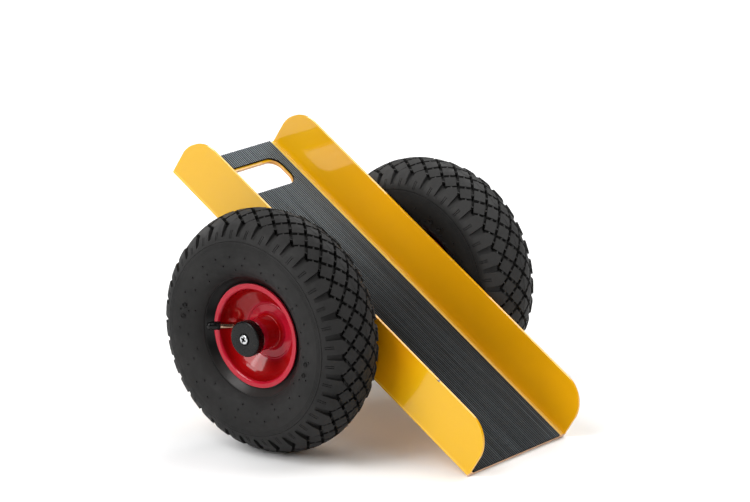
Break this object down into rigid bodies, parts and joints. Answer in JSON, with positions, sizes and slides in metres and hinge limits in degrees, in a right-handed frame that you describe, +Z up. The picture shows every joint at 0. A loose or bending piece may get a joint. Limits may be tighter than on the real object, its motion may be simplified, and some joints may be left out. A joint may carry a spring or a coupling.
{
  "type": "panel cart",
  "caption": "Two-wheeled cart for carrying panels on edge: a folded yellow steel channel with a ribbed rubber mat and a hand hole, on pneumatic tyres with red rims.",
  "frame": {"origin": "on the floor, in the middle of the cart's outline as it rests on both tyres and the low end of its tray", "axes": "+X towards the low end of the tray, +Y along the axle to the left as seen from the hand hole, +Z up"},
  "size_m": [0.4162, 0.3566, 0.2998],
  "materials": {
    "yellow_paint": "gloss yellow powder coat",
    "mat_rubber": "matt black ribbed rubber",
    "red_paint": "gloss red paint",
    "tyre_rubber": "matt black rubber",
    "tube_rubber": "smooth black rubber",
    "nylon": "natural nylon",
    "bare_steel": "bright drawn steel",
    "zinc": "bright zinc plate",
    "black_plastic": "satin black plastic",
    "brass": "bare brass"
  },
  "bodies": {
    "chassis": {"tray": "yellow_paint", "deck_mat": "mat_rubber", "axle_tube": "yellow_paint", "tube_welds": "yellow_paint", "axle": "bare_steel", "left_inner_washer": "zinc", "left_outer_washer": "zinc", "left_end_cap": "black_plastic", "left_cap_screw": "zinc", "right_inner_washer": "zinc", "right_outer_washer": "zinc", "right_end_cap": "black_plastic", "right_cap_screw": "zinc"},
    "left_wheel": {"left_tyre": "tyre_rubber", "left_inner_tube": "tube_rubber", "left_rim_outer": "red_paint", "left_rim_inner": "red_paint", "left_hub_tube": "red_paint", "left_hub_welds": "red_paint", "left_bearing_cages": "nylon", "left_bearing_rollers": "bare_steel", "left_bearing_spacer": "nylon", "left_valve_base": "tube_rubber", "left_valve_stem": "brass", "left_valve_core": "brass", "left_valve_cap": "black_plastic"},
    "right_wheel": {"right_tyre": "tyre_rubber", "right_inner_tube": "tube_rubber", "right_rim_outer": "red_paint", "right_rim_inner": "red_paint", "right_hub_tube": "red_paint", "right_hub_welds": "red_paint", "right_bearing_cages": "nylon", "right_bearing_rollers": "bare_steel", "right_bearing_spacer": "nylon", "right_valve_base": "tube_rubber", "right_valve_stem": "brass", "right_valve_core": "brass", "right_valve_cap": "black_plastic"}
  },
  "joints": [
    {"name": "left_wheel_spin", "type": "hinge", "parent": "chassis", "child": "left_wheel", "pos_m": [-0.03087, 0.1338, 0.13], "axis": [0, 1, 0], "continuous": true},
    {"name": "right_wheel_spin", "type": "hinge", "parent": "chassis", "child": "right_wheel", "pos_m": [-0.03087, -0.1338, 0.13], "axis": [0, 1, 0], "continuous": true}
  ]
}
